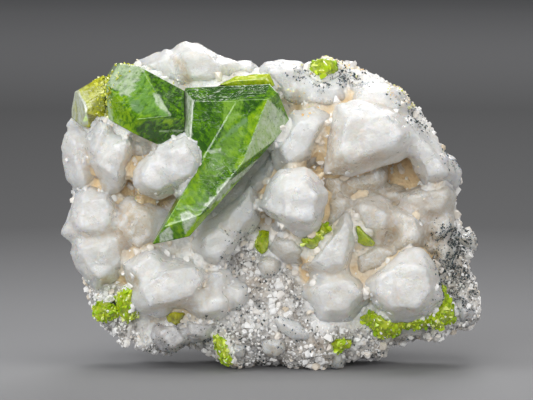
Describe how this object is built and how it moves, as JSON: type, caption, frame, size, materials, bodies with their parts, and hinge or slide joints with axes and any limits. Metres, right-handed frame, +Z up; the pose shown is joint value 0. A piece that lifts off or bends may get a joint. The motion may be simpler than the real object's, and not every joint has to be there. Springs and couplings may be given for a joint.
{
  "type": "titanite on matrix",
  "caption": "Cabinet mineral specimen: wedge-shaped green titanite crystals among blocky white feldspar on a lump of granular rock, standing on a small flat foot.",
  "frame": {"origin": "on the ground, under the middle of the specimen's bounding box", "axes": "+Z up, -Y toward the crystal face, +X to its right"},
  "size_m": [0.1048, 0.0544, 0.0816],
  "materials": {
    "rock": "granular grey-white rock with sugary open surfaces",
    "titanite": "vivid green crystal, adamantine lustre, clear at thin edges",
    "olive_titanite": "yellow-olive crystal, adamantine lustre",
    "feldspar": "milky white translucent crystal, satin to frosted faces",
    "cream_feldspar": "cream translucent crystal, frosted faces"
  },
  "bodies": {
    "root": {"matrix": "rock", "titanite_main": "titanite", "titanite_upper_left": "titanite", "titanite_behind_top": "olive_titanite", "titanite_top": "titanite", "titanite_middle_left": "titanite", "titanite_below_pointed": "titanite", "titanite_blade": "titanite", "titanite_low_left": "titanite", "titanite_low_left_edge": "titanite", "titanite_chips_bottom": "titanite", "titanite_chip_right": "titanite", "titanite_band_low_right": "titanite", "titanite_left_edge": "olive_titanite", "titanite_olive_low": "olive_titanite", "feldspar_rounded_pair": "feldspar", "feldspar_pointed": "feldspar", "feldspar_large_low_right": "feldspar", "feldspar_low_left": "feldspar", "feldspar_slanted": "feldspar", "feldspar_arch": "feldspar", "feldspar_hollow": "feldspar", "feldspar_below_tip": "feldspar", "feldspar_left": "feldspar", "feldspar_upper_left": "feldspar", "feldspar_pillar": "feldspar", "feldspar_green_tinted": "feldspar", "feldspar_small_round": "feldspar", "feldspar_chip_middle": "feldspar", "feldspar_foot_left": "feldspar", "feldspar_top_left": "feldspar", "feldspar_top_middle": "feldspar", "feldspar_small_blade": "feldspar", "feldspar_cream_block_middle": "cream_feldspar", "feldspar_cream_block_left": "cream_feldspar", "feldspar_cream_block_right": "cream_feldspar", "feldspar_right_edge_low": "feldspar", "feldspar_right_edge_high": "cream_feldspar"}
  },
  "joints": []
}
